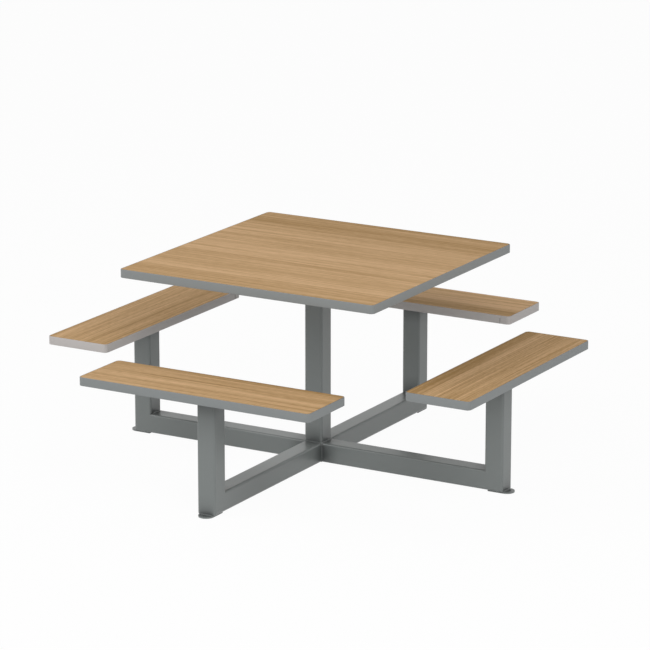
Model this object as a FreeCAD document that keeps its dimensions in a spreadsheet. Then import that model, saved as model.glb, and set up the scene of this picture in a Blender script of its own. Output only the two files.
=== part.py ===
import FreeCAD, Part
import math
import os
import Sketcher

# Square canteen table with four fixed benches on one welded frame.
#
# The frame is a cross of square tube. Four floor beams run out from the centre post, and each is mitred
# to a bench post that stands on a round-ended foot plate. Cross-shaped support plates, stiffened by
# tapered gussets, are welded on the posts, and the boards are screwed down on them from below.
# A board is chipboard between a decor laminate and a backing laminate, with an edge band round it.
#
# Millimetres, +Z up. The origin is on the floor, under the middle of the table. +X points to the right
# bench and -Y to the front bench. Each side of the table is modelled once, along +X, and turned.

SIZES = {
    # table top and benches
    "top_side": 1000,
    "top_height": 740,
    "seat_length": 900,
    "seat_width": 246,
    "seat_height": 445,
    "seat_reach": 714,
    # boards
    "core_thickness": 28,
    "decor_thickness": 1,
    "backing_thickness": 1,
    "board_corner_radius": 15,
    "band_thickness": 2,
    "band_arris": 1,
    "band_seam_gap": 0.8,
    "band_seam_inset": 38.5,
    # frame tube
    "tube_side": 70,
    "tube_wall": 4,
    "tube_corner_radius": 8,
    "closing_plate_thickness": 4,
    "closing_plate_clearance": 0.2,
    # foot plates
    "foot_plate_thickness": 5,
    "foot_plate_width": 55,
    "foot_plate_inset": 25,
    "floor_hole_diameter": 9,
    "floor_hole_offset": 12,
    # supports under the boards
    "support_thickness": 6,
    "support_width": 60,
    "support_inner_cut": 15,
    "support_outer_cut": 6,
    "top_support_reach": 350,
    "seat_support_reach": 250,
    "seat_support_side_reach": 92,
    "screw_hole_diameter": 6,
    "top_screw_inset": 22,
    "top_screw_spread": 36,
    "seat_screw_inset": 20,
    # gussets
    "gusset_thickness": 5,
    "gusset_corner_cut": 9,
    "top_gusset_depth": 60,
    "top_gusset_tip": 10,
    "top_gusset_reach": 290,
    "seat_gusset_depth": 30,
    "seat_gusset_tip": 8,
    "seat_gusset_reach": 205,
}

# Sizes that follow from the driving ones. The cut across a corner of the tube's bore keeps the wall as
# thick there as on the flats.
BOARD = "(dims.core_thickness + dims.decor_thickness + dims.backing_thickness)"
TOP_UNDERSIDE = f"(dims.top_height - {BOARD})"
SEAT_UNDERSIDE = f"(dims.seat_height - {BOARD})"
HALF_TUBE = "(dims.tube_side / 2)"
TUBE_BORE = "(dims.tube_side - 2 * dims.tube_wall)"
BORE_CORNER_CUT = "((2 - sqrt(2)) * (dims.tube_corner_radius - dims.tube_wall))"
FRAME_BOTTOM = "dims.foot_plate_thickness"
CENTRE_POST_HEIGHT = f"({TOP_UNDERSIDE} - dims.support_thickness - dims.foot_plate_thickness)"
SEAT_POST_HEIGHT = f"({SEAT_UNDERSIDE} - dims.support_thickness - dims.foot_plate_thickness)"
BEAM_END = f"(dims.seat_reach + {HALF_TUBE})"

# How far a cutting outline runs past the piece that it cuts
PAST_TUBE = "dims.tube_side"
PAST_BAND = "dims.band_thickness"

# The four sides of the table, each with its turn about Z in degrees
SIDES = {"right": 0, "back": 90, "left": 180, "front": 270}
TOP_TURN = 270

# Screw places from the middle of a board, for one arm of its support, and how many arms repeat them
TOP_SCREW_REACH = "(dims.top_support_reach - dims.top_screw_inset)"
TOP_SCREW_PLACES = [
    (TOP_SCREW_REACH, "(dims.top_screw_spread / 2)"),
    (TOP_SCREW_REACH, "(-dims.top_screw_spread / 2)"),
]
TOP_SCREW_REPEATS = 4
SEAT_SCREW_PLACES = [
    ("0", "(dims.seat_support_reach - dims.seat_screw_inset)"),
    ("(dims.seat_support_side_reach - dims.seat_screw_inset)", "0"),
]
SEAT_SCREW_REPEATS = 2

POINT_OF_ORIGIN = -1
START, END, CENTRE = range(1, 4)
CLOSE = 1e-6

document = FreeCAD.newDocument("canteen_table")
bodies = []


def make_sheet():
    """Put each driving size in a cell of its own, with its name as the alias."""
    sheet = document.addObject("Spreadsheet::Sheet", "dims")
    for row, (name, size) in enumerate(SIZES.items(), 1):
        sheet.set(f"A{row}", name)
        sheet.set(f"B{row}", str(size))
        sheet.setAlias(f"B{row}", name)
    document.recompute()
    return sheet


dims = make_sheet()


def value(expression):
    """The number that an expression on the sheet comes to."""
    return float(dims.evalExpression(expression))


# Bodies, sketches and features


def origin_part(body, role):
    return next(part for part in body.Origin.OriginFeatures if part.Role == role)


def new_body(label, turn=0, out="0", up="0"):
    """A body whose own X axis points `turn` degrees round, `out` from the middle and `up` from the floor."""
    body = document.addObject("PartDesign::Body", label)
    body.Label = label
    body.Placement = FreeCAD.Placement(FreeCAD.Vector(), FreeCAD.Rotation(FreeCAD.Vector(0, 0, 1), turn))
    body.setExpression("Placement.Base.x", f"{out} * cos({turn} deg)")
    body.setExpression("Placement.Base.y", f"{out} * sin({turn} deg)")
    body.setExpression("Placement.Base.z", up)
    bodies.append(body)
    return body


def new_sketch(body, name, plane):
    sketch = body.newObject("Sketcher::SketchObject", f"{body.Name}_{name}")
    sketch.AttachmentSupport = (origin_part(body, plane), [""])
    sketch.MapMode = "FlatFace"
    return sketch


def bind(sketch, constraint, name, expression):
    """Add a constraint under a name and tie it to the sheet."""
    index = sketch.addConstraint(constraint)
    sketch.renameConstraint(index, name)
    sketch.setExpression(f"Constraints.{name}", expression)


def draw_rounded_rectangle(sketch, name, along_x, along_y, radius):
    """A rectangle with round corners, centred on the sketch's origin."""
    corner = value(radius)
    centre_x = value(along_x) / 2 - corner
    centre_y = value(along_y) / 2 - corner
    arcs = []
    for quarter, (side_x, side_y) in enumerate(((1, 1), (-1, 1), (-1, -1), (1, -1))):
        centre = FreeCAD.Vector(side_x * centre_x, side_y * centre_y, 0)
        circle = Part.Circle(centre, FreeCAD.Vector(0, 0, 1), corner)
        start = quarter * math.pi / 2
        arcs.append(Part.ArcOfCircle(circle, start, start + math.pi / 2))
    arc_ids = [sketch.addGeometry(arc, False) for arc in arcs]
    line_ids = []
    for arc, following in zip(arcs, arcs[1:] + arcs[:1]):
        line_ids.append(sketch.addGeometry(Part.LineSegment(arc.EndPoint, following.StartPoint), False))
    for quarter, (arc_id, line_id) in enumerate(zip(arc_ids, line_ids)):
        following_id = arc_ids[(quarter + 1) % len(arc_ids)]
        sketch.addConstraint(Sketcher.Constraint("Tangent", arc_id, END, line_id, START))
        sketch.addConstraint(Sketcher.Constraint("Tangent", line_id, END, following_id, START))
        sketch.addConstraint(Sketcher.Constraint("Horizontal" if quarter % 2 == 0 else "Vertical", line_id))
    for arc_id in arc_ids[1:]:
        sketch.addConstraint(Sketcher.Constraint("Equal", arc_ids[0], arc_id))
    top_id, left_id, bottom_id, right_id = line_ids
    sketch.addConstraint(
        Sketcher.Constraint("Symmetric", top_id, START, bottom_id, START, POINT_OF_ORIGIN, START)
    )
    bind(sketch, Sketcher.Constraint("Radius", arc_ids[0], corner), f"{name}_radius", radius)
    width = Sketcher.Constraint("DistanceX", left_id, START, right_id, START, value(along_x))
    bind(sketch, width, f"{name}_along_x", along_x)
    depth = Sketcher.Constraint("DistanceY", bottom_id, START, top_id, START, value(along_y))
    bind(sketch, depth, f"{name}_along_y", along_y)


def place_point(sketch, name, geometry, position, x, y):
    """Tie a point of the sketch to its distances from the sketch's origin."""
    across = Sketcher.Constraint("DistanceX", POINT_OF_ORIGIN, START, geometry, position, value(x))
    bind(sketch, across, f"{name}_across", x)
    along = Sketcher.Constraint("DistanceY", POINT_OF_ORIGIN, START, geometry, position, value(y))
    bind(sketch, along, f"{name}_along", y)


def draw_polygon(sketch, name, corners):
    """A closed outline with straight sides, each corner given by two expressions."""
    points = [FreeCAD.Vector(value(x), value(y), 0) for x, y in corners]
    lines = []
    for start, end in zip(points, points[1:] + points[:1]):
        lines.append(sketch.addGeometry(Part.LineSegment(start, end), False))
    for line, following in zip(lines, lines[1:] + lines[:1]):
        sketch.addConstraint(Sketcher.Constraint("Coincident", line, END, following, START))
    for number, (line, (x, y)) in enumerate(zip(lines, corners), 1):
        place_point(sketch, f"{name}_corner_{number}", line, START, x, y)


def draw_rectangle(sketch, name, low_x, low_y, high_x, high_y):
    draw_polygon(sketch, name, [(low_x, low_y), (high_x, low_y), (high_x, high_y), (low_x, high_y)])


def draw_square_with_cut_corners(sketch, name, side, corner_cut):
    """A square centred on the sketch's origin, with each corner cut off at 45 degrees."""
    half = f"({side} / 2)"
    near = f"({half} - {corner_cut})"
    draw_polygon(sketch, name, [
        (half, f"(-{near})"), (half, near),
        (near, half), (f"(-{near})", half),
        (f"(-{half})", near), (f"(-{half})", f"(-{near})"),
        (f"(-{near})", f"(-{half})"), (near, f"(-{half})"),
    ])


def draw_circle(sketch, name, x, y, diameter):
    centre = FreeCAD.Vector(value(x), value(y), 0)
    circle = sketch.addGeometry(Part.Circle(centre, FreeCAD.Vector(0, 0, 1), value(diameter) / 2), False)
    place_point(sketch, name, circle, CENTRE, x, y)
    bind(sketch, Sketcher.Constraint("Diameter", circle, value(diameter)), f"{name}_diameter", diameter)


def add_pad(body, sketch, length, symmetric=False):
    pad = body.newObject("PartDesign::Pad", f"{sketch.Name}_pad")
    pad.Profile = sketch
    pad.SideType = "Symmetric" if symmetric else "One side"
    pad.setExpression("Length", length)
    document.recompute()


def cut_through(body, sketch):
    """Cut the sketch out of the body, right through both ways."""
    before = body.Tip.Shape.Volume
    pocket = body.newObject("PartDesign::Pocket", f"{sketch.Name}_cut")
    pocket.Profile = sketch
    pocket.Type = "ThroughAll"
    pocket.SideType = "Symmetric"
    document.recompute()
    if not pocket.Shape.Volume < before - CLOSE:
        raise RuntimeError(f"{pocket.Name} cuts nothing")
    return pocket


def repeat_about_z(body, feature, copies):
    """Repeat a feature round the body's own Z axis."""
    pattern = body.newObject("PartDesign::PolarPattern", f"{feature.Name}_pattern")
    pattern.Originals = [feature]
    pattern.Axis = (origin_part(body, "Z_Axis"), [""])
    pattern.Angle = 360
    pattern.Occurrences = copies
    body.Tip = pattern
    document.recompute()


def add_chamfer(body, name, size, wanted):
    """Chamfer the edges of the body's last feature for which `wanted` says yes."""
    base = body.Tip
    names = [f"Edge{number}" for number, edge in enumerate(base.Shape.Edges, 1) if wanted(edge)]
    chamfer = body.newObject("PartDesign::Chamfer", f"{body.Name}_{name}")
    chamfer.Base = (base, names)
    chamfer.setExpression("Size", size)
    document.recompute()


def is_upright(edge):
    return edge.BoundBox.XLength < CLOSE and edge.BoundBox.YLength < CLOSE


# Boards


def build_layer(label, board, bottom, thickness):
    """One sheet of a board, inside the edge band."""
    body = new_body(label, board["turn"], board["out"], f"{board['underside']} + {bottom}")
    sketch = new_sketch(body, "outline", "XY_Plane")
    inside = "- 2 * dims.band_thickness"
    radius = "dims.board_corner_radius - dims.band_thickness"
    draw_rounded_rectangle(sketch, "sheet", f"{board['along_x']} {inside}", f"{board['along_y']} {inside}", radius)
    add_pad(body, sketch, thickness)


def build_edge_band(label, board):
    """The band is one strip wound round the board, so its two ends leave a fine seam on the inner side."""
    body = new_body(label, board["turn"], board["out"], board["underside"])
    along_x, along_y = board["along_x"], board["along_y"]
    radius = "dims.board_corner_radius"
    sketch = new_sketch(body, "outline", "XY_Plane")
    draw_rounded_rectangle(sketch, "outer", along_x, along_y, radius)
    inside = "- 2 * dims.band_thickness"
    inner_radius = f"{radius} - dims.band_thickness"
    draw_rounded_rectangle(sketch, "inner", f"{along_x} {inside}", f"{along_y} {inside}", inner_radius)
    add_pad(body, sketch, BOARD)
    outer_x = value(along_x) / 2

    def on_outer_side(edge):
        return abs(edge.BoundBox.XMin - outer_x) < CLOSE and edge.BoundBox.ZLength < CLOSE

    add_chamfer(body, "arris", "dims.band_arris", on_outer_side)
    seam = new_sketch(body, "seam", "XY_Plane")
    outer_face = f"(-{along_x} / 2)"
    inner_face = f"({outer_face} + dims.band_thickness)"
    low_y = f"(-{along_y} / 2 + dims.band_seam_inset)"
    draw_rectangle(
        seam, "gap",
        f"({outer_face} - {PAST_BAND})", low_y,
        f"({inner_face} + {PAST_BAND})", f"({low_y} + dims.band_seam_gap)",
    )
    cut_through(body, seam)


def build_board(name, board):
    build_layer(f"{name}_backing", board, "0", "dims.backing_thickness")
    build_layer(f"{name}_core", board, "dims.backing_thickness", "dims.core_thickness")
    decor_bottom = "dims.backing_thickness + dims.core_thickness"
    build_layer(f"{name}_decor", board, decor_bottom, "dims.decor_thickness")
    build_edge_band(f"{name}_edge_band", board)


# Frame of square tube


def draw_tube_section(sketch):
    draw_rounded_rectangle(sketch, "outer", "dims.tube_side", "dims.tube_side", "dims.tube_corner_radius")
    draw_square_with_cut_corners(sketch, "bore", TUBE_BORE, BORE_CORNER_CUT)


def build_centre_post():
    body = new_body("centre_post", up=FRAME_BOTTOM)
    section = new_sketch(body, "section", "XY_Plane")
    draw_tube_section(section)
    add_pad(body, section, CENTRE_POST_HEIGHT)


def build_closing_plate():
    """Shuts the foot of the centre post, flush with the undersides of the beams."""
    body = new_body("centre_closing_plate", up=FRAME_BOTTOM)
    outline = new_sketch(body, "outline", "XY_Plane")
    side = f"({TUBE_BORE} - 2 * dims.closing_plate_clearance)"
    draw_square_with_cut_corners(outline, "plate", side, BORE_CORNER_CUT)
    add_pad(body, outline, "dims.closing_plate_thickness")


def mitre(body, corners):
    """Cut a wedge off a tube's end, so that the cut face leans 45 degrees."""
    wedge = new_sketch(body, "mitre", "XZ_Plane")
    draw_polygon(wedge, "wedge", corners)
    cut_through(body, wedge)


def build_floor_beam(side, turn):
    """Runs from the centre post's face to the outer corner, where it is mitred to the bench post."""
    body = new_body(f"{side}_floor_beam", turn, up=FRAME_BOTTOM)
    section = new_sketch(body, "section", "YZ_Plane")
    draw_tube_section(section)
    section.setExpression("AttachmentOffset.Base.y", HALF_TUBE)
    section.setExpression("AttachmentOffset.Base.z", HALF_TUBE)
    add_pad(body, section, f"{BEAM_END} - {HALF_TUBE}")
    low_corner = (f"({BEAM_END} + {PAST_TUBE})", f"(-{PAST_TUBE})")
    high_corner = (f"({BEAM_END} - 2 * {PAST_TUBE})", f"(2 * {PAST_TUBE})")
    outside = (f"({BEAM_END} + {PAST_TUBE})", f"(2 * {PAST_TUBE})")
    mitre(body, [low_corner, outside, high_corner])


def build_bench_post(side, turn):
    """Stands on the outer end of a floor beam, with its foot mitred to it."""
    body = new_body(f"{side}_bench_post", turn, "dims.seat_reach", FRAME_BOTTOM)
    section = new_sketch(body, "section", "XY_Plane")
    draw_tube_section(section)
    add_pad(body, section, SEAT_POST_HEIGHT)
    low_corner = (f"({HALF_TUBE} + {PAST_TUBE})", f"(-{PAST_TUBE})")
    high_corner = (f"({HALF_TUBE} - 2 * {PAST_TUBE})", f"(2 * {PAST_TUBE})")
    outside = (f"({HALF_TUBE} - 2 * {PAST_TUBE})", f"(-{PAST_TUBE})")
    mitre(body, [low_corner, high_corner, outside])


def build_foot_plate(side, turn):
    """A flat bar across the corner's underside; its round end has the hole for a floor fixing."""
    body = new_body(f"{side}_foot_plate", turn, "dims.seat_reach")
    outline = new_sketch(body, "outline", "XY_Plane")
    half_width = value("dims.foot_plate_width") / 2
    inner_x = -value("dims.foot_plate_inset")
    round_x = value(HALF_TUBE)
    centre = FreeCAD.Vector(round_x, 0, 0)
    circle = Part.Circle(centre, FreeCAD.Vector(0, 0, 1), half_width)
    corners = [
        FreeCAD.Vector(round_x, half_width, 0),
        FreeCAD.Vector(inner_x, half_width, 0),
        FreeCAD.Vector(inner_x, -half_width, 0),
        FreeCAD.Vector(round_x, -half_width, 0),
    ]
    round_end = outline.addGeometry(Part.ArcOfCircle(circle, -math.pi / 2, math.pi / 2), False)
    upper, inner, lower = [
        outline.addGeometry(Part.LineSegment(start, end), False) for start, end in zip(corners, corners[1:])
    ]
    outline.addConstraint(Sketcher.Constraint("Tangent", round_end, END, upper, START))
    outline.addConstraint(Sketcher.Constraint("Coincident", upper, END, inner, START))
    outline.addConstraint(Sketcher.Constraint("Coincident", inner, END, lower, START))
    outline.addConstraint(Sketcher.Constraint("Tangent", lower, END, round_end, START))
    outline.addConstraint(Sketcher.Constraint("Horizontal", upper))
    outline.addConstraint(Sketcher.Constraint("Horizontal", lower))
    outline.addConstraint(Sketcher.Constraint("Vertical", inner))
    place_point(outline, "round_end", round_end, CENTRE, HALF_TUBE, "0")
    width = Sketcher.Constraint("DistanceY", lower, START, upper, END, 2 * half_width)
    bind(outline, width, "width", "dims.foot_plate_width")
    inset = Sketcher.Constraint("DistanceX", inner, START, POINT_OF_ORIGIN, START, -inner_x)
    bind(outline, inset, "inset", "dims.foot_plate_inset")
    add_pad(body, outline, "dims.foot_plate_thickness")
    floor_hole = new_sketch(body, "floor_hole", "XY_Plane")
    reach = f"({HALF_TUBE} + dims.floor_hole_offset)"
    draw_circle(floor_hole, "hole", reach, "0", "dims.floor_hole_diameter")
    cut_through(body, floor_hole)


# Supports between posts and boards


def add_screw_holes(body, board):
    sketch = new_sketch(body, "screw_holes", "XY_Plane")
    for number, (x, y) in enumerate(board["screw_places"], 1):
        draw_circle(sketch, f"hole_{number}", x, y, "dims.screw_hole_diameter")
    holes = cut_through(body, sketch)
    repeat_about_z(body, holes, board["screw_repeats"])


def build_support_plate(label, board):
    """A cross cut from plate, with an arm each way and screw holes near the ends of the arms."""
    reach_x, reach_y = board["support_reach_x"], board["support_reach_y"]
    body = new_body(label, board["turn"], board["out"], f"{board['underside']} - dims.support_thickness")
    half = "(dims.support_width / 2)"
    arms_x = new_sketch(body, "arms_along_x", "XY_Plane")
    draw_rectangle(arms_x, "arms", f"(-{reach_x})", f"(-{half})", reach_x, half)
    add_pad(body, arms_x, "dims.support_thickness")
    arms_y = new_sketch(body, "arms_along_y", "XY_Plane")
    draw_rectangle(arms_y, "arms", f"(-{half})", f"(-{reach_y})", half, reach_y)
    add_pad(body, arms_y, "dims.support_thickness")
    half_width, end_x, end_y = value(half), value(reach_x), value(reach_y)

    def is_inner_corner(edge):
        spot = edge.BoundBox.Center
        off_x = abs(abs(spot.x) - half_width)
        off_y = abs(abs(spot.y) - half_width)
        return is_upright(edge) and off_x < CLOSE and off_y < CLOSE

    def is_outer_corner(edge):
        spot = edge.BoundBox.Center
        at_x_end = abs(abs(spot.x) - end_x) < CLOSE
        at_y_end = abs(abs(spot.y) - end_y) < CLOSE
        return is_upright(edge) and (at_x_end or at_y_end)

    add_chamfer(body, "inner_corners", "dims.support_inner_cut", is_inner_corner)
    add_chamfer(body, "outer_corners", "dims.support_outer_cut", is_outer_corner)
    add_screw_holes(body, board)


def build_gusset(label, turn, post, underside, depth, tip, reach):
    """A tapered web under one arm of a support plate. `post` is how far out its post stands, and which way."""
    post_out, post_turn = post
    body = new_body(label, turn)
    body.setExpression("Placement.Base.x", f"{post_out} * cos({post_turn} deg)")
    body.setExpression("Placement.Base.y", f"{post_out} * sin({post_turn} deg)")
    body.setExpression("Placement.Base.z", f"{underside} - dims.support_thickness")
    web = new_sketch(body, "web", "XZ_Plane")
    draw_polygon(web, "web", [
        (f"({HALF_TUBE} + dims.gusset_corner_cut)", "0"),
        (HALF_TUBE, "(-dims.gusset_corner_cut)"),
        (HALF_TUBE, f"(-{depth})"),
        (reach, f"(-{tip})"),
        (reach, "0"),
    ])
    add_pad(body, web, "dims.gusset_thickness", symmetric=True)


# The whole table

TOP_BOARD = {
    "turn": TOP_TURN,
    "out": "0",
    "underside": TOP_UNDERSIDE,
    "along_x": "dims.top_side",
    "along_y": "dims.top_side",
    "support_reach_x": "dims.top_support_reach",
    "support_reach_y": "dims.top_support_reach",
    "screw_places": TOP_SCREW_PLACES,
    "screw_repeats": TOP_SCREW_REPEATS,
}


def seat_board(turn):
    return {
        "turn": turn,
        "out": "dims.seat_reach",
        "underside": SEAT_UNDERSIDE,
        "along_x": "dims.seat_width",
        "along_y": "dims.seat_length",
        "support_reach_x": "dims.seat_support_side_reach",
        "support_reach_y": "dims.seat_support_reach",
        "screw_places": SEAT_SCREW_PLACES,
        "screw_repeats": SEAT_SCREW_REPEATS,
    }


def side_facing(turn):
    return next(side for side, side_turn in SIDES.items() if side_turn == turn % 360)


def build_table_top():
    build_board("table_top", TOP_BOARD)
    build_support_plate("table_top_support", TOP_BOARD)
    for side, turn in SIDES.items():
        build_gusset(
            f"table_top_gusset_{side}", turn, ("0", 0), TOP_UNDERSIDE,
            "dims.top_gusset_depth", "dims.top_gusset_tip", "dims.top_gusset_reach",
        )


def build_bench(side, turn):
    board = seat_board(turn)
    build_board(f"{side}_bench", board)
    build_support_plate(f"{side}_bench_support", board)
    for gusset_turn in (turn + 90, turn - 90):
        build_gusset(
            f"{side}_bench_gusset_{side_facing(gusset_turn)}", gusset_turn, ("dims.seat_reach", turn),
            SEAT_UNDERSIDE, "dims.seat_gusset_depth", "dims.seat_gusset_tip", "dims.seat_gusset_reach",
        )


def build_frame():
    build_centre_post()
    build_closing_plate()
    for side, turn in SIDES.items():
        build_floor_beam(side, turn)
        build_bench_post(side, turn)
        build_foot_plate(side, turn)


def check_document():
    """Stop if any object failed, or if any piece has no sound shape."""
    document.recompute()
    for item in document.Objects:
        if "Invalid" in item.State or "Error" in item.State:
            raise RuntimeError(f"{item.Name} failed: {item.State}")
    for body in bodies:
        if body.Shape.isNull() or not body.Shape.isValid():
            raise RuntimeError(f"{body.Label} has no valid shape")


def write_parts():
    os.makedirs("parts", exist_ok=True)
    for body in bodies:
        body.Shape.exportStep(os.path.join("parts", f"{body.Label}.step"))


build_frame()
build_table_top()
for bench_side, bench_turn in SIDES.items():
    build_bench(bench_side, bench_turn)
check_document()
write_parts()
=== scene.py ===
import bpy
import math
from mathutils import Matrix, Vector


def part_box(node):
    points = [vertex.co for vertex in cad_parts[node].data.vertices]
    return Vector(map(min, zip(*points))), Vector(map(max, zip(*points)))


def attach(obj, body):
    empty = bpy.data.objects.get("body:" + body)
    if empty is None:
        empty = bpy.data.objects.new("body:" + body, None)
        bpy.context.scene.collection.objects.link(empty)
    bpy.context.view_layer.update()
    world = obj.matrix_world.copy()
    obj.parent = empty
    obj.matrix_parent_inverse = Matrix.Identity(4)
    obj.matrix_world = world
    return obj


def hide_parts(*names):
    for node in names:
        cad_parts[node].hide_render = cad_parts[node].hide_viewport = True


# A square canteen table with four fixed benches on a welded cross of square steel tube.
#
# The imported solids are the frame. This script gives them their finishes, winds each board's edge band,
# leaves the glue in its seam, lays the painted weld beads, drives the board screws from below, and sets up
# the studio.
# Metres throughout: a size known in millimetres is written as a number times MM.

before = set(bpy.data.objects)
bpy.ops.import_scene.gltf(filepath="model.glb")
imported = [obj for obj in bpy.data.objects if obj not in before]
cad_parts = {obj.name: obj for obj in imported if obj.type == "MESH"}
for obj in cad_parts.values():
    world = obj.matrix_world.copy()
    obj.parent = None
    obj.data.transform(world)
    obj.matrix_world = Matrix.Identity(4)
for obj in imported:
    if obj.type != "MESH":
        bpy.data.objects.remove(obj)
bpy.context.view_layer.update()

MM = 0.001
X, Y = 0, 1
UP = Vector((0, 0, 1))

# How many steps a path takes round a corner, and from what angle on an edge is left sharp
CORNER_STEPS = 12
SHARP_DEGREES = 35

# Which way each bench lies from the middle of the table
OUTWARD = {
    "right": Vector((1, 0, 0)),
    "back": Vector((0, 1, 0)),
    "left": Vector((-1, 0, 0)),
    "front": Vector((0, -1, 0)),
}
BOARD_POSTS = {"table_top": "centre_post"}
BOARD_POSTS.update({f"{side}_bench": f"{side}_bench_post" for side in OUTWARD})

# Boards
GRAIN_ALONG_Y = ("right_bench", "left_bench")
LIGHT_BANDS = ("left_bench", "back_bench")
BAND_THICKNESS = 2 * MM
BAND_ARRIS = 1.5 * MM
ARRIS_STEPS = 5
BAND_CORNER = 15 * MM
SEAM_GAP = 0.8 * MM
SEAM_INSET = 38.5 * MM
GLUE_THREAD = 0.7 * MM
GLUE_LENGTH = 20 * MM
CORE_LINE = 1.2 * MM

# Each board's decor: where it is cut from the sheet, how strong its figure is, its shade, how much darker
# its painted shadow is, and from where to where across the grain the painted shadow comes in (the table
# top's shadow on a bench's inner side; on the table top, shade towards its back)
DECOR_SHEETS = {
    "table_top": (101.7, 0.92, 0.04, 0.19, 150 * MM, 450 * MM),
    "right_bench": (21.7, 1.15, -0.02, 0.55, 690 * MM, 580 * MM),
    "back_bench": (32.7, 1.2, 0.2, 0.42, 720 * MM, 620 * MM),
    "left_bench": (105.9, 1.0, 0.0, 0.12, -700 * MM, -620 * MM),
    "front_bench": (87.8, 1.1, 0.03, 0.22, -680 * MM, -600 * MM),
}

# What the figure is made of: length, width, detail and weight of its broad bands, veins, lines and fibres
DECOR_STREAKS = (
    (6.0, 55 * MM, 2.0, 0.7),
    (1.5, 18 * MM, 2.0, 0.7),
    (0.45, 5 * MM, 1.0, 1.0),
    (30 * MM, 3 * MM, 1.0, 0.6),
)

# How far from an inside corner or a neighbouring part the coat's painted shade reaches, and how strongly it
# darkens
PAINTED_SHADE_REACH = 70 * MM
PAINTED_SHADE_POWER = 2.2

# Frame
TUBE_CORNER = 8 * MM
SHOULDER_STEPS = 3
GUSSET_CORNER_CUT = 9 * MM
PLATE_WELD_MARGIN = 2 * MM
WELD_BEAD = 3 * MM
WELD_STOP = 4 * MM
BEAD_RIPPLE = 3.2 * MM
BEAD_SWELL = 0.025
BEAD_TIP = 0.03
BEAD_SIDES = 10

# Board screws: pan head, cross recess. A row is how far it stays from the end of its arm of the support
# plate, and where its screws are across the arm.
HEAD_SIDES = 24
HEAD_DIAMETER = 11 * MM
HEAD_HEIGHT = 3.2 * MM
RIM_SHARE = 0.4
CROWN_SHARE = 0.66
SHANK_SIDES = 16
SHANK_DIAMETER = 5 * MM
SHANK_LENGTH = 20 * MM
RECESS_LENGTH = 5.4 * MM
RECESS_WIDTH = 1.2 * MM
RECESS_DEPTH = 1.8 * MM
TABLE_SCREW_ROW = (22 * MM, (-18 * MM, 18 * MM))
BENCH_SCREW_ROW = (20 * MM, (0,))

# Studio. The camera's angles are in degrees, and its lens and sensor in plain millimetres.
FLOOR_HALF = 40.0
FLOOR_LEVEL = -0.2 * MM
FLOOR_WHITENESS = 0.96
TENT_LIGHT = 0.38
SOFTBOX_SIDE = 3.0
SOFTBOX_AIM = Vector((0, 0, 0.35))
CAMERA_PLACE = (6.0912, -10.5074, 3.7429)
CAMERA_TILT = 75.016
CAMERA_TURN = 29.986
CAMERA_LENS = 198.956
CAMERA_SENSOR = 36


# Colours, nodes and materials


def linear(hex_colour):
    """An sRGB hex colour as the linear red, green, blue and alpha that sockets take."""
    levels = [int(hex_colour[i:i + 2], 16) / 255 for i in (1, 3, 5)]
    return [c / 12.92 if c <= 0.04045 else ((c + 0.055) / 1.055) ** 2.4 for c in levels] + [1.0]


def add_node(tree, kind, inputs=(), stops=(), **settings):
    """Add a node. `inputs` pairs an input's name or number with a value, or with another node's output.
    `stops` pairs the two places on a colour ramp with their colours."""
    node = tree.nodes.new(kind)
    for setting, choice in settings.items():
        setattr(node, setting, choice)
    for socket, given in dict(inputs).items():
        if isinstance(given, bpy.types.NodeSocket):
            tree.links.new(given, node.inputs[socket])
        else:
            node.inputs[socket].default_value = given
    for number, (place, colour) in enumerate(stops):
        node.color_ramp.elements[number].position = place
        node.color_ramp.elements[number].color = linear(colour)
    return node


def new_material(name):
    """A material with nothing in it yet, and its tree."""
    material = bpy.data.materials.new(name)
    material.use_nodes = True
    material.node_tree.nodes.clear()
    return material, material.node_tree


def powder_coat():
    """Polyester powder coat, sprayed dry and stoved: an even grey film with a semi-gloss skin. Its colour
    carries painted shade: near inside corners and where parts meet, the grey is darkened towards a dark
    grey, where shade falls.
    The melt leaves a faint orange peel, drawn about 3 mm wide so that it shows."""
    material, tree = new_material("grey_polyester_powder_coat")
    place = add_node(tree, "ShaderNodeTexCoord").outputs["Object"]
    peel = add_node(tree, "ShaderNodeTexNoise", {"Vector": place, "Scale": 1 / (3 * MM), "Detail": 1.0})
    skin = add_node(tree, "ShaderNodeBump", {"Height": peel.outputs["Fac"], "Distance": 0.02 * MM})
    # Painted shade: the coat darkens towards its dark grey where corners and neighbouring parts close in on
    # it
    openness = add_node(tree, "ShaderNodeAmbientOcclusion", {"Distance": PAINTED_SHADE_REACH})
    painted_shade = add_node(tree, "ShaderNodeMath", {0: openness.outputs["AO"], 1: PAINTED_SHADE_POWER}, operation="POWER")
    colour = add_node(tree, "ShaderNodeValToRGB", {
        "Fac": painted_shade.outputs[0],
    }, stops=((0, "#3b3d3d"), (1, "#7f8483")))
    coat = add_node(tree, "ShaderNodeBsdfPrincipled", {
        "Base Color": colour.outputs["Color"],
        "Roughness": 0.32,
        "IOR": 1.5,
        "Normal": skin.outputs["Normal"],
    })
    add_node(tree, "ShaderNodeOutputMaterial", {"Surface": coat.outputs["BSDF"]})
    return material


def abs_band(name, colour):
    """Extruded ABS edge band with a fine pearl emboss: plain colour right through, satin."""
    material, tree = new_material(name)
    place = add_node(tree, "ShaderNodeTexCoord").outputs["Object"]
    pearl = add_node(tree, "ShaderNodeTexNoise", {"Vector": place, "Scale": 1 / (1.5 * MM), "Detail": 1.0})
    emboss = add_node(tree, "ShaderNodeBump", {"Height": pearl.outputs["Fac"], "Distance": 0.02 * MM})
    plastic = add_node(tree, "ShaderNodeBsdfPrincipled", {
        "Base Color": linear(colour),
        "Roughness": 0.45,
        "IOR": 1.53,
        "Normal": emboss.outputs["Normal"],
    })
    add_node(tree, "ShaderNodeOutputMaterial", {"Surface": plastic.outputs["BSDF"]})
    return material


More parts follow.
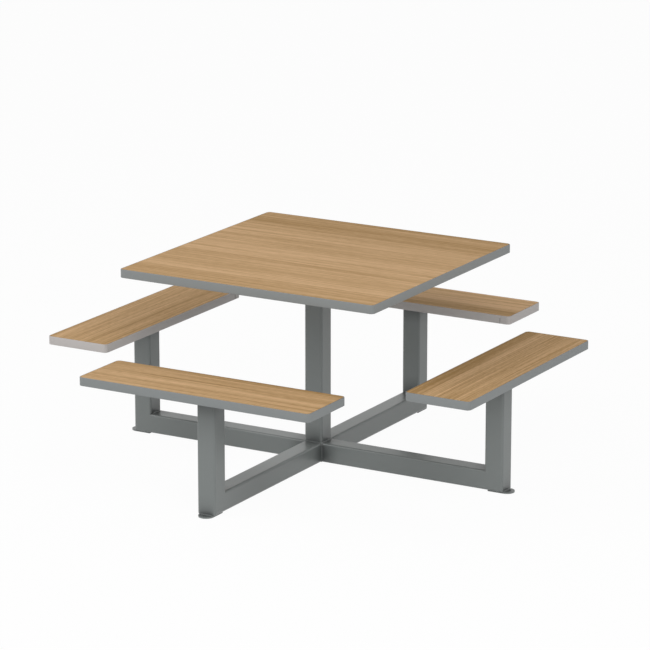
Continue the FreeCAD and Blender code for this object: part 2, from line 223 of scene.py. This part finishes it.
def streaks(tree, place, length, width, sheet, detail):
    """Noise drawn out along the grain, so many metres long and wide. Each sheet has its own."""
    stretched = add_node(tree, "ShaderNodeMapping", {
        "Vector": place,
        "Location": (sheet, sheet, sheet),
        "Scale": (1 / length, 1 / width, 1 / width),
    })
    noise = add_node(tree, "ShaderNodeTexNoise", {
        "Vector": stretched.outputs["Vector"],
        "Scale": 1.0,
        "Detail": detail,
    })
    return noise.outputs["Fac"]


def figure_tone(tree, place, sheet, figure):
    """The light and dark of a decor's figure: all its streaks, each about its mean and with its weight."""
    tone = 0.5
    for length, width, detail, weight in DECOR_STREAKS:
        pattern = streaks(tree, place, length, width, sheet, detail)
        centred = add_node(tree, "ShaderNodeMath", {0: pattern, 1: 0.5}, operation="SUBTRACT")
        tone = add_node(tree, "ShaderNodeMath", {
            0: centred.outputs[0],
            1: weight * figure,
            2: tone,
        }, operation="MULTIPLY_ADD").outputs[0]
    return tone


def trimmed_edge(tree, place, board):
    """1 along the trimmed outline of a board's decor, 0 inside it."""
    low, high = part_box(f"{board}_decor")
    radius = BAND_CORNER - BAND_THICKNESS
    spot = place
    for operation, by in (
        ("SUBTRACT", (low + high) / 2),
        ("MULTIPLY", Vector((1, 1, 0))),
        ("ABSOLUTE", Vector((0, 0, 0))),
        ("SUBTRACT", (high - low) / 2 - Vector((radius, radius, 0))),
        ("MAXIMUM", Vector((0, 0, 0))),
    ):
        step = add_node(tree, "ShaderNodeVectorMath", {0: spot, 1: by}, operation=operation)
        spot = step.outputs["Vector"]
    out = add_node(tree, "ShaderNodeVectorMath", {0: spot}, operation="LENGTH").outputs["Value"]
    edge = add_node(tree, "ShaderNodeMath", {0: out, 1: radius - CORE_LINE}, operation="GREATER_THAN")
    return edge.outputs[0]


def oak_decor(board, sheet, figure, shade, painted_shadow_depth, painted_shadow_from, painted_shadow_to):
    """High-pressure laminate with a printed light-oak decor, quarter sawn: straight streaks that run the
    length of the sheet, in broad bands, veins, thin lines and short fibres. Across the grain each board is
    painted darker towards one side: painted shadow where the table top shades a bench's inner side, and
    painted shade towards the back of the table top.
    The brown kraft core shows as a thin line where the sheet is trimmed. The pressed surface is matt with
    a slight pore relief. Lines, fibres and pores are drawn 5, 3 and 2 mm wide, so that they show."""
    material, tree = new_material(f"light_oak_laminate_{board}")
    place = add_node(tree, "ShaderNodeTexCoord").outputs["Object"]
    turned = add_node(tree, "ShaderNodeMapping", {
        "Vector": place,
        "Rotation": (0, 0, math.radians(90) if board in GRAIN_ALONG_Y else 0),
    }).outputs["Vector"]
    across = add_node(tree, "ShaderNodeSeparateXYZ", {"Vector": turned}).outputs["Y"]
    # Painted shadow: the tone darkens across the grain towards the side in the table top's shadow (on the
    # table top, towards its back)
    painted_shadow = add_node(tree, "ShaderNodeMapRange", {
        "Value": across,
        "From Min": painted_shadow_from,
        "From Max": painted_shadow_to,
        "To Min": shade,
        "To Max": shade - painted_shadow_depth,
    }, interpolation_type="SMOOTHSTEP")
    tone = add_node(tree, "ShaderNodeMath", {
        0: figure_tone(tree, turned, sheet, figure),
        1: painted_shadow.outputs["Result"],
    }, operation="ADD")
    printed = add_node(tree, "ShaderNodeValToRGB", {
        "Fac": tone.outputs[0],
    }, stops=((0.1, "#a17c45"), (0.9, "#e1b98b")))
    # A Mix node's colour sockets share their names with others, so they go by number
    edged = add_node(tree, "ShaderNodeMix", {
        "Factor": trimmed_edge(tree, place, board),
        6: printed.outputs["Color"],
        7: linear("#5e4026"),
    }, data_type="RGBA")
    pores = streaks(tree, turned, 40 * MM, 2 * MM, sheet, 1.0)
    relief = add_node(tree, "ShaderNodeBump", {"Height": pores, "Distance": 0.03 * MM})
    laminate = add_node(tree, "ShaderNodeBsdfPrincipled", {
        "Base Color": edged.outputs[2],
        "Roughness": 0.78,
        "IOR": 1.5,
        "Normal": relief.outputs["Normal"],
    })
    add_node(tree, "ShaderNodeOutputMaterial", {"Surface": laminate.outputs["BSDF"]})
    return material


def backing_laminate():
    """Plain kraft backing laminate, a matt warm grey sheet on the underside of each board."""
    material, tree = new_material("grey_backing_laminate")
    sheet = add_node(tree, "ShaderNodeBsdfPrincipled", {
        "Base Color": linear("#a9a49c"),
        "Roughness": 0.6,
        "IOR": 1.5,
    })
    add_node(tree, "ShaderNodeOutputMaterial", {"Surface": sheet.outputs["BSDF"]})
    return material


def chipboard():
    """Resin-bonded chipboard: pale flakes of wood, a few millimetres long, pressed flat."""
    material, tree = new_material("raw_chipboard")
    place = add_node(tree, "ShaderNodeTexCoord").outputs["Object"]
    flakes = add_node(tree, "ShaderNodeTexVoronoi", {"Vector": place, "Scale": 1 / (3 * MM)})
    colour = add_node(tree, "ShaderNodeValToRGB", {
        "Fac": flakes.outputs["Color"],
    }, stops=((0, "#8f7047"), (1, "#d2b88c")))
    board = add_node(tree, "ShaderNodeBsdfPrincipled", {
        "Base Color": colour.outputs["Color"],
        "Roughness": 0.85,
        "IOR": 1.5,
    })
    add_node(tree, "ShaderNodeOutputMaterial", {"Surface": board.outputs["BSDF"]})
    return material


def hot_melt_glue():
    """Hot-melt edging glue, squeezed out of a seam, a dark brown-grey."""
    material, tree = new_material("dark_hot_melt_glue")
    glue = add_node(tree, "ShaderNodeBsdfPrincipled", {
        "Base Color": linear("#2e2a26"),
        "Roughness": 0.5,
        "IOR": 1.48,
    })
    add_node(tree, "ShaderNodeOutputMaterial", {"Surface": glue.outputs["BSDF"]})
    return material


def zinc_plate():
    """Bright zinc plating on steel: a clear bluish silver, slightly milky."""
    material, tree = new_material("bright_zinc_plated_steel")
    steel = add_node(tree, "ShaderNodeBsdfPrincipled", {
        "Base Color": linear("#c9cdd0"),
        "Metallic": 1.0,
        "Roughness": 0.3,
    })
    add_node(tree, "ShaderNodeOutputMaterial", {"Surface": steel.outputs["BSDF"]})
    return material


COAT = powder_coat()
DECORS = {board: oak_decor(board, *sheet) for board, sheet in DECOR_SHEETS.items()}
MID_GREY_BAND = abs_band("mid_grey_abs_edge_band", "#878b8b")
LIGHT_GREY_BAND = abs_band("light_grey_abs_edge_band", "#bfbab7")
BACKING = backing_laminate()
CHIPBOARD = chipboard()
GLUE = hot_melt_glue()
ZINC = zinc_plate()


def dress_solids():
    """Give every CAD solid its finish."""
    for name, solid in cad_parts.items():
        if name.endswith("_decor"):
            finish = DECORS[name.removesuffix("_decor")]
        elif name.endswith("_backing"):
            finish = BACKING
        elif name.endswith("_core"):
            finish = CHIPBOARD
        elif name.endswith("_edge_band"):
            finish = LIGHT_GREY_BAND if name.startswith(LIGHT_BANDS) else MID_GREY_BAND
        else:
            finish = COAT
        solid.data.materials.clear()
        solid.data.materials.append(finish)


# Pieces grown by Geometry Nodes


def new_tree(name, sizes, vectors=()):
    """A Geometry Nodes tree whose inputs are a mesh, a material, the named sizes and the named vectors."""
    tree = bpy.data.node_groups.new(name, "GeometryNodeTree")
    kinds = {"Geometry": "NodeSocketGeometry", "Material": "NodeSocketMaterial"}
    kinds.update(dict.fromkeys(sizes, "NodeSocketFloat"))
    kinds.update(dict.fromkeys(vectors, "NodeSocketVector"))
    for socket, kind in kinds.items():
        tree.interface.new_socket(socket, in_out="INPUT", socket_type=kind)
    tree.interface.new_socket("Geometry", in_out="OUTPUT", socket_type="NodeSocketGeometry")
    return tree, add_node(tree, "NodeGroupInput").outputs


def finish_tree(tree, given, geometry):
    """End a tree in Realize Instances and Set Material."""
    real = add_node(tree, "GeometryNodeRealizeInstances", {"Geometry": geometry})
    painted = add_node(tree, "GeometryNodeSetMaterial", {
        "Geometry": real.outputs["Geometry"],
        "Material": given["Material"],
    })
    add_node(tree, "NodeGroupOutput", {"Geometry": painted.outputs["Geometry"]})
    return tree


def grow(name, seed, tree, material, sizes):
    """Run a tree on a seed mesh and keep what it makes as a plain mesh that rides on the root body."""
    piece = bpy.data.objects.new(name, seed)
    bpy.context.scene.collection.objects.link(piece)
    modifier = piece.modifiers.new("growth", "NODES")
    modifier.node_group = tree
    given = {"Material": material, **sizes}
    for socket in tree.interface.items_tree:
        if socket.in_out == "INPUT" and socket.name in given:
            modifier[socket.identifier] = given[socket.name]
    graph = bpy.context.evaluated_depsgraph_get()
    grown = bpy.data.meshes.new_from_object(piece.evaluated_get(graph))
    piece.modifiers.remove(modifier)
    piece.data = grown
    grown.shade_smooth()
    grown.set_sharp_from_angle(angle=math.radians(SHARP_DEGREES))
    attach(piece, "root")
    return piece


def path_mesh(name, paths):
    """Open or closed lines of points as one mesh of edges. A path that ends where it began is closed."""
    points, edges = [], []
    for path in paths:
        first = len(points)
        closed = (path[0] - path[-1]).length < MM / 100
        kept = path[:-1] if closed else path
        points += kept
        edges += [(i, i + 1) for i in range(first, first + len(kept) - 1)]
        if closed:
            edges.append((len(points) - 1, first))
    mesh = bpy.data.meshes.new(name)
    mesh.from_pydata(points, edges, [])
    return mesh


def rounded_rectangle(centre, half_x, half_y, radius):
    """The points of a level rectangle with round corners, anticlockwise from the middle of its -X side."""
    points = [centre + Vector((-half_x, 0, 0))]
    for quarter, (side_x, side_y) in enumerate(((-1, -1), (1, -1), (1, 1), (-1, 1))):
        middle = centre + Vector((side_x * (half_x - radius), side_y * (half_y - radius), 0))
        for step in range(CORNER_STEPS + 1):
            angle = math.pi + (quarter + step / CORNER_STEPS) * math.pi / 2
            points.append(middle + radius * Vector((math.cos(angle), math.sin(angle), 0)))
    return points + [points[0]]


# Edge bands


def edge_band_tree():
    """The band's section, with its two outer arrises rounded, swept along the board's edge."""
    tree, given = new_tree("edge_band", ("Thickness", "Height", "Arris"))
    path = add_node(tree, "GeometryNodeMeshToCurve", {"Mesh": given["Geometry"]})
    upright = add_node(tree, "GeometryNodeSetCurveNormal", {"Curve": path.outputs["Curve"]}, mode="Z_UP")
    section = add_node(tree, "GeometryNodeCurvePrimitiveQuadrilateral", {
        "Width": given["Thickness"],
        "Height": given["Height"],
    }, mode="RECTANGLE")
    position = add_node(tree, "GeometryNodeInputPosition").outputs[0]
    spot = add_node(tree, "ShaderNodeSeparateXYZ", {"Vector": position})
    outer = add_node(tree, "ShaderNodeMath", {0: spot.outputs["X"], 1: 0.0}, operation="GREATER_THAN")
    radius = add_node(tree, "ShaderNodeMath", {
        0: outer.outputs[0],
        1: given["Arris"],
    }, operation="MULTIPLY")
    rounded = add_node(tree, "GeometryNodeFilletCurve", {
        "Curve": section.outputs["Curve"],
        "Count": ARRIS_STEPS,
        "Radius": radius.outputs[0],
    }, mode="POLY")
    band = add_node(tree, "GeometryNodeCurveToMesh", {
        "Curve": upright.outputs["Curve"],
        "Profile Curve": rounded.outputs["Curve"],
        "Fill Caps": True,
    })
    clean = add_node(tree, "GeometryNodeMergeByDistance", {
        "Geometry": band.outputs["Mesh"],
        "Distance": MM / 100,
    })
    return finish_tree(tree, given, clean.outputs["Geometry"])


def seam_place(board):
    """The spot on the face of a board's band where its seam is, with the way into the board and the way
    along the band, anticlockwise. The seam is on a bench's inner side, near one end, and on the table top
    it is on the same side as on the front bench."""
    inward = OUTWARD.get(board.removesuffix("_bench"), OUTWARD["front"])
    along = inward.cross(UP)
    low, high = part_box(f"{board}_edge_band")
    half = (high - low) / 2
    face = (low + high) / 2 - inward * abs(half.dot(inward)) + along * (abs(half.dot(along)) - SEAM_INSET)
    return face, inward, along


def band_path(board):
    """The middle line of a board's band, anticlockwise from one side of its seam round to the other."""
    low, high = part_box(f"{board}_edge_band")
    centre = (low + high) / 2
    inset = BAND_THICKNESS / 2
    half = (high - low) / 2 - Vector((inset, inset, 0))
    face, inward, along = seam_place(board)
    seam = face + inward * inset

    def turn_from_seam(point):
        turn = math.atan2(point.y - centre.y, point.x - centre.x)
        return (turn - math.atan2(seam.y - centre.y, seam.x - centre.x)) % (2 * math.pi)

    ring = sorted(rounded_rectangle(centre, half.x, half.y, BAND_CORNER - inset)[:-1], key=turn_from_seam)
    return [seam + along * SEAM_GAP / 2] + ring + [seam - along * SEAM_GAP / 2]


def wind_bands():
    """Wind a band round every board, in place of the plain band of the solids."""
    tree = edge_band_tree()
    for board in BOARD_POSTS:
        low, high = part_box(f"{board}_edge_band")
        sizes = {"Thickness": BAND_THICKNESS, "Height": high.z - low.z, "Arris": BAND_ARRIS}
        finish = LIGHT_GREY_BAND if board in LIGHT_BANDS else MID_GREY_BAND
        path = path_mesh(f"{board}_band_path", [band_path(board)])
        band = grow(f"{board}_wound_band", path, tree, finish, sizes)
        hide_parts(f"{board}_edge_band")


# Weld beads and glue threads


def bead_tree():
    """A round bead along each path, with the ripples of a pool that set, tapering off at an open end."""
    tree, given = new_tree("bead", ("Radius", "Taper", "Ripple", "Step"))
    path = add_node(tree, "GeometryNodeMeshToCurve", {"Mesh": given["Geometry"]})
    even = add_node(tree, "GeometryNodeResampleCurve", {
        "Curve": path.outputs["Curve"],
        "Length": given["Step"],
    }, mode="LENGTH")
    run = add_node(tree, "GeometryNodeSplineParameter").outputs["Length"]
    whole = add_node(tree, "GeometryNodeSplineLength").outputs["Length"]
    closed = add_node(tree, "GeometryNodeInputSplineCyclic").outputs["Cyclic"]
    to_end = add_node(tree, "ShaderNodeMath", {0: whole, 1: run}, operation="SUBTRACT")
    taper = add_node(tree, "ShaderNodeMath", {0: run, 1: to_end.outputs[0]}, operation="MINIMUM").outputs[0]
    for operation, by in (
        ("DIVIDE", given["Taper"]),
        ("MAXIMUM", BEAD_TIP),
        ("MINIMUM", 1.0),
        ("POWER", 0.5),
        ("MAXIMUM", closed),
    ):
        taper = add_node(tree, "ShaderNodeMath", {0: taper, 1: by}, operation=operation).outputs[0]
    swell = run
    for operation, by in (
        ("DIVIDE", given["Ripple"]),
        ("MULTIPLY", 2 * math.pi),
        ("SINE", 0.0),
        ("MULTIPLY", BEAD_SWELL),
        ("ADD", 1.0),
        ("MULTIPLY", taper),
    ):
        swell = add_node(tree, "ShaderNodeMath", {0: swell, 1: by}, operation=operation).outputs[0]
    ring = add_node(tree, "GeometryNodeCurvePrimitiveCircle", {
        "Resolution": BEAD_SIDES,
        "Radius": given["Radius"],
    }, mode="RADIUS")
    bead = add_node(tree, "GeometryNodeCurveToMesh", {
        "Curve": even.outputs["Curve"],
        "Profile Curve": ring.outputs["Curve"],
        "Scale": swell,
        "Fill Caps": True,
    })
    return finish_tree(tree, given, bead.outputs["Mesh"])


def bead_sizes(radius):
    """A bead's taper is as long as the bead is wide, and three rings make a ripple."""
    return {"Radius": radius, "Taper": 2 * radius, "Ripple": BEAD_RIPPLE, "Step": BEAD_RIPPLE / 3}


def gusset_joints(gusset, post_centre):
    """The lines where one gusset meets its plate and its post, on both of its faces."""
    low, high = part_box(gusset)
    along = X if high.x - low.x > high.y - low.y else Y
    outward = 1 if (low[along] + high[along]) / 2 > post_centre[along] else -1
    at_post, at_tip = (low, high) if outward > 0 else (high, low)
    lines = []
    for face in (low, high):
        foot = Vector((face.x, face.y, low.z))
        foot[along] = at_post[along]
        head = Vector((foot.x, foot.y, high.z))
        tip = head.copy()
        tip[along] = at_tip[along]
        start = head.copy()
        start[along] += outward * GUSSET_CORNER_CUT
        lines.append([start, tip])
        lines.append([head - UP * GUSSET_CORNER_CUT, foot])
    return lines


def support_joints(board):
    """The joints round the head of a board's post, under its support plate, and along its gussets."""
    low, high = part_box(BOARD_POSTS[board])
    centre = (low + high) / 2
    centre.z = high.z
    lines = [rounded_rectangle(centre, (high.x - low.x) / 2, (high.y - low.y) / 2, TUBE_CORNER)]
    for node in sorted(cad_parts):
        if node.startswith(f"{board}_gusset"):
            lines += gusset_joints(node, centre)
    return lines


def floor_joints(side):
    """The joints on one side of the floor frame: floor beam to centre post, over the beam and up its corner,
    beam to bench post inside the corner, and foot plate to both."""
    outward = OUTWARD[side]
    across = UP.cross(outward)
    post_low, post_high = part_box("centre_post")
    half_tube = (post_high.x - post_low.x) / 2
    flat = half_tube - TUBE_CORNER
    beam_low, beam_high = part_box(f"{side}_floor_beam")
    bench_low, bench_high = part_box(f"{side}_bench_post")
    reach = abs((bench_low + bench_high).dot(outward)) / 2
    plate_low, plate_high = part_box(f"{side}_foot_plate")
    plate_half = min(plate_high.x - plate_low.x, plate_high.y - plate_low.y) / 2
    plate_inner = min(abs(plate_low.dot(outward)), abs(plate_high.dot(outward)))
    shoulder = []
    for step in range(SHOULDER_STEPS + 1):
        turn = math.pi / 2 * step / SHOULDER_STEPS
        drop = TUBE_CORNER * (1 - math.cos(turn))
        shoulder.append((flat + TUBE_CORNER * math.sin(turn), beam_high.z - drop))
    arch = [(-wide, level) for wide, level in shoulder[::-1]] + shoulder
    lines = [[outward * half_tube + across * wide + UP * level for wide, level in arch]]
    for out, level, half in (
        (reach - half_tube, beam_high.z, flat),
        (reach + half_tube, plate_high.z, plate_half - PLATE_WELD_MARGIN),
    ):
        middle = outward * out + UP * level
        lines.append([middle - across * half, middle + across * half])
    corner = (outward + across) * half_tube
    post_corner = (outward + across) * (flat + TUBE_CORNER * math.sqrt(0.5))
    lines.append([
        post_corner + UP * beam_low.z,
        corner + UP * (beam_low.z + TUBE_CORNER),
        corner + UP * (beam_high.z - TUBE_CORNER),
        post_corner + UP * beam_high.z,
        post_corner + UP * (beam_high.z + WELD_STOP),
    ])
    for edge in (-plate_half, plate_half):
        start = outward * plate_inner + across * edge + UP * plate_high.z
        end = outward * (reach + half_tube - TUBE_CORNER) + across * edge + UP * plate_high.z
        lines.append([start, end])
    return lines


def lay_welds(tree):
    """Weld the supports to their posts and the floor frame together. The beads are coated with the frame."""
    joints = {f"{board}_support": support_joints(board) for board in BOARD_POSTS}
    joints["floor_frame"] = [line for side in OUTWARD for line in floor_joints(side)]
    for place, lines in joints.items():
        path = path_mesh(f"{place}_joints", lines)
        welds = grow(f"{place}_welds", path, tree, COAT, bead_sizes(WELD_BEAD))


def leave_glue(tree):
    """A thread of glue stands on the lower part of each band's seam."""
    lines = []
    for board in BOARD_POSTS:
        foot = seam_place(board)[0]
        foot.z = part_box(f"{board}_edge_band")[0].z + BAND_ARRIS
        lines.append([foot, foot + UP * GLUE_LENGTH])
    grow("seam_glue", path_mesh("seams", lines), tree, GLUE, bead_sizes(GLUE_THREAD))


# Board screws


def screw_tree():
    """A pan-head screw at each vertex of the seed, its head below the vertex and its shank above. The place
    of the crown is its lowest face, and the recess is sunk from there."""
    tree, given = new_tree(
        "board_screw",
        ("Head radius", "Rim height", "Crown height", "Shank radius", "Shank length"),
        ("Rim place", "Crown place", "Shank place", "Recess along", "Recess across"),
    )
    crown_radius = add_node(tree, "ShaderNodeMath", {
        0: given["Head radius"],
        1: CROWN_SHARE,
    }, operation="MULTIPLY")
    whole = add_node(tree, "GeometryNodeMeshBoolean", operation="UNION", solver="EXACT")
    for kind, sizes, place in (
        ("GeometryNodeMeshCylinder", {
            "Vertices": HEAD_SIDES,
            "Radius": given["Head radius"],
            "Depth": given["Rim height"],
        }, "Rim place"),
        ("GeometryNodeMeshCone", {
            "Vertices": HEAD_SIDES,
            "Side Segments": 1,
            "Radius Top": given["Head radius"],
            "Radius Bottom": crown_radius.outputs[0],
            "Depth": given["Crown height"],
        }, "Crown place"),
        ("GeometryNodeMeshCylinder", {
            "Vertices": SHANK_SIDES,
            "Radius": given["Shank radius"],
            "Depth": given["Shank length"],
        }, "Shank place"),
    ):
        solid = add_node(tree, kind, sizes)
        placed = add_node(tree, "GeometryNodeTransform", {
            "Geometry": solid.outputs["Mesh"],
            "Translation": given[place],
        })
        tree.links.new(placed.outputs["Geometry"], whole.inputs["Mesh 2"])
    cut = add_node(tree, "GeometryNodeMeshBoolean", {
        "Mesh 1": whole.outputs["Mesh"],
    }, operation="DIFFERENCE", solver="EXACT")
    for wing in ("Recess along", "Recess across"):
        blade = add_node(tree, "GeometryNodeMeshCube", {"Size": given[wing]})
        placed = add_node(tree, "GeometryNodeTransform", {
            "Geometry": blade.outputs["Mesh"],
            "Translation": given["Crown place"],
        })
        tree.links.new(placed.outputs["Geometry"], cut.inputs["Mesh 2"])
    screws = add_node(tree, "GeometryNodeInstanceOnPoints", {
        "Points": given["Geometry"],
        "Instance": cut.outputs["Mesh"],
    })
    return finish_tree(tree, given, screws.outputs["Instances"])


def screw_places(board):
    """Where a board's screws stand: under the arms of its support plate, near their ends."""
    low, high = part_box(f"{board}_support")
    centre = (low + high) / 2
    centre.z = low.z
    inset, offsets = TABLE_SCREW_ROW if board == "table_top" else BENCH_SCREW_ROW
    places = []
    for along in (X, Y):
        reach = (high[along] - low[along]) / 2 - inset
        for out in (-reach, reach):
            for offset in offsets:
                place = centre.copy()
                place[along] += out
                place[1 - along] += offset
                places.append(place)
    return places


def drive_screws():
    """Drive every board's screws up through its support plate."""
    tree = screw_tree()
    sizes = {
        "Head radius": HEAD_DIAMETER / 2,
        "Rim height": HEAD_HEIGHT * RIM_SHARE,
        "Crown height": HEAD_HEIGHT * (1 - RIM_SHARE),
        "Shank radius": SHANK_DIAMETER / 2,
        "Shank length": SHANK_LENGTH,
        "Rim place": (0, 0, -HEAD_HEIGHT * RIM_SHARE / 2),
        "Crown place": (0, 0, -HEAD_HEIGHT),
        "Shank place": (0, 0, SHANK_LENGTH / 2),
        "Recess along": (RECESS_LENGTH, RECESS_WIDTH, 2 * RECESS_DEPTH),
        "Recess across": (RECESS_WIDTH, RECESS_LENGTH, 2 * RECESS_DEPTH),
    }
    for board in BOARD_POSTS:
        seed = bpy.data.meshes.new(f"{board}_screw_places")
        seed.from_pydata(screw_places(board), [], [])
        grow(f"{board}_board_screws", seed, tree, ZINC, sizes)


# Studio


def background_rays(tree):
    """1 for the rays that see plain white: the camera's own, reflections, and those through glass."""
    rays = add_node(tree, "ShaderNodeLightPath").outputs
    seen = rays["Is Camera Ray"]
    for kind in ("Is Glossy Ray", "Is Transmission Ray"):
        seen = add_node(tree, "ShaderNodeMath", {0: seen, 1: rays[kind]}, operation="MAXIMUM").outputs[0]
    return seen


def build_floor():
    """A pale floor. Seen by the camera it is mostly the white of the backdrop, with the shadow left in it.
    The floor casts no shadow rays, so it is left out of the coat's painted corner shade and doesn't darken
    the frame near its feet."""
    material, tree = new_material("pale_studio_floor")
    matt = add_node(tree, "ShaderNodeBsdfDiffuse", {"Color": linear("#f4f4f4")})
    white = add_node(tree, "ShaderNodeEmission", {"Color": linear("#ffffff"), "Strength": 1.0})
    share = add_node(tree, "ShaderNodeMath", {
        0: background_rays(tree),
        1: FLOOR_WHITENESS,
    }, operation="MULTIPLY")
    mix = add_node(tree, "ShaderNodeMixShader", {
        "Fac": share.outputs[0],
        1: matt.outputs["BSDF"],
        2: white.outputs["Emission"],
    })
    add_node(tree, "ShaderNodeOutputMaterial", {"Surface": mix.outputs["Shader"]})
    sides = ((-1, -1), (1, -1), (1, 1), (-1, 1))
    mesh = bpy.data.meshes.new("studio_floor")
    mesh.from_pydata([(FLOOR_HALF * x, FLOOR_HALF * y, FLOOR_LEVEL) for x, y in sides], [], [(0, 1, 2, 3)])
    mesh.materials.append(material)
    floor = bpy.data.objects.new("studio_floor", mesh)
    bpy.context.scene.collection.objects.link(floor)
    floor.visible_shadow = False


def build_sky():
    """Even soft light from all round, as in a light tent, and plain white for the rays that see it."""
    world = bpy.data.worlds.new("light_tent")
    bpy.context.scene.world = world
    world.use_nodes = True
    tree = world.node_tree
    tree.nodes.clear()
    light = add_node(tree, "ShaderNodeMapRange", {
        "Value": background_rays(tree),
        "To Min": TENT_LIGHT,
        "To Max": 1.0,
    })
    tent = add_node(tree, "ShaderNodeBackground", {
        "Color": linear("#ffffff"),
        "Strength": light.outputs["Result"],
    })
    add_node(tree, "ShaderNodeOutputWorld", {"Surface": tent.outputs["Background"]})


def add_softbox(name, place, watts):
    """A square soft light turned to face the table."""
    light = bpy.data.lights.new(name, "AREA")
    light.shape = "SQUARE"
    light.size = SOFTBOX_SIDE
    light.energy = watts
    softbox = bpy.data.objects.new(name, light)
    softbox.location = place
    softbox.rotation_euler = (SOFTBOX_AIM - Vector(place)).to_track_quat("-Z", "Y").to_euler()
    bpy.context.scene.collection.objects.link(softbox)


def build_lamps():
    """A softbox to the left and one to the right of the front, well above the table."""
    add_softbox("left_softbox", (-3.033, -3.033, 3.95), 96)
    add_softbox("right_softbox", (3.244, -3.244, 3.562), 100)


def build_camera():
    camera = bpy.data.cameras.new("camera")
    camera.sensor_width = CAMERA_SENSOR
    camera.lens = CAMERA_LENS
    camera.clip_end = 200
    holder = bpy.data.objects.new("camera", camera)
    holder.location = CAMERA_PLACE
    holder.rotation_euler = (math.radians(CAMERA_TILT), 0, math.radians(CAMERA_TURN))
    bpy.context.scene.collection.objects.link(holder)
    bpy.context.scene.camera = holder


dress_solids()
wind_bands()
beads = bead_tree()
lay_welds(beads)
leave_glue(beads)
drive_screws()
build_floor()
build_sky()
build_lamps()
build_camera()
bpy.context.scene.view_settings.view_transform = "Standard"
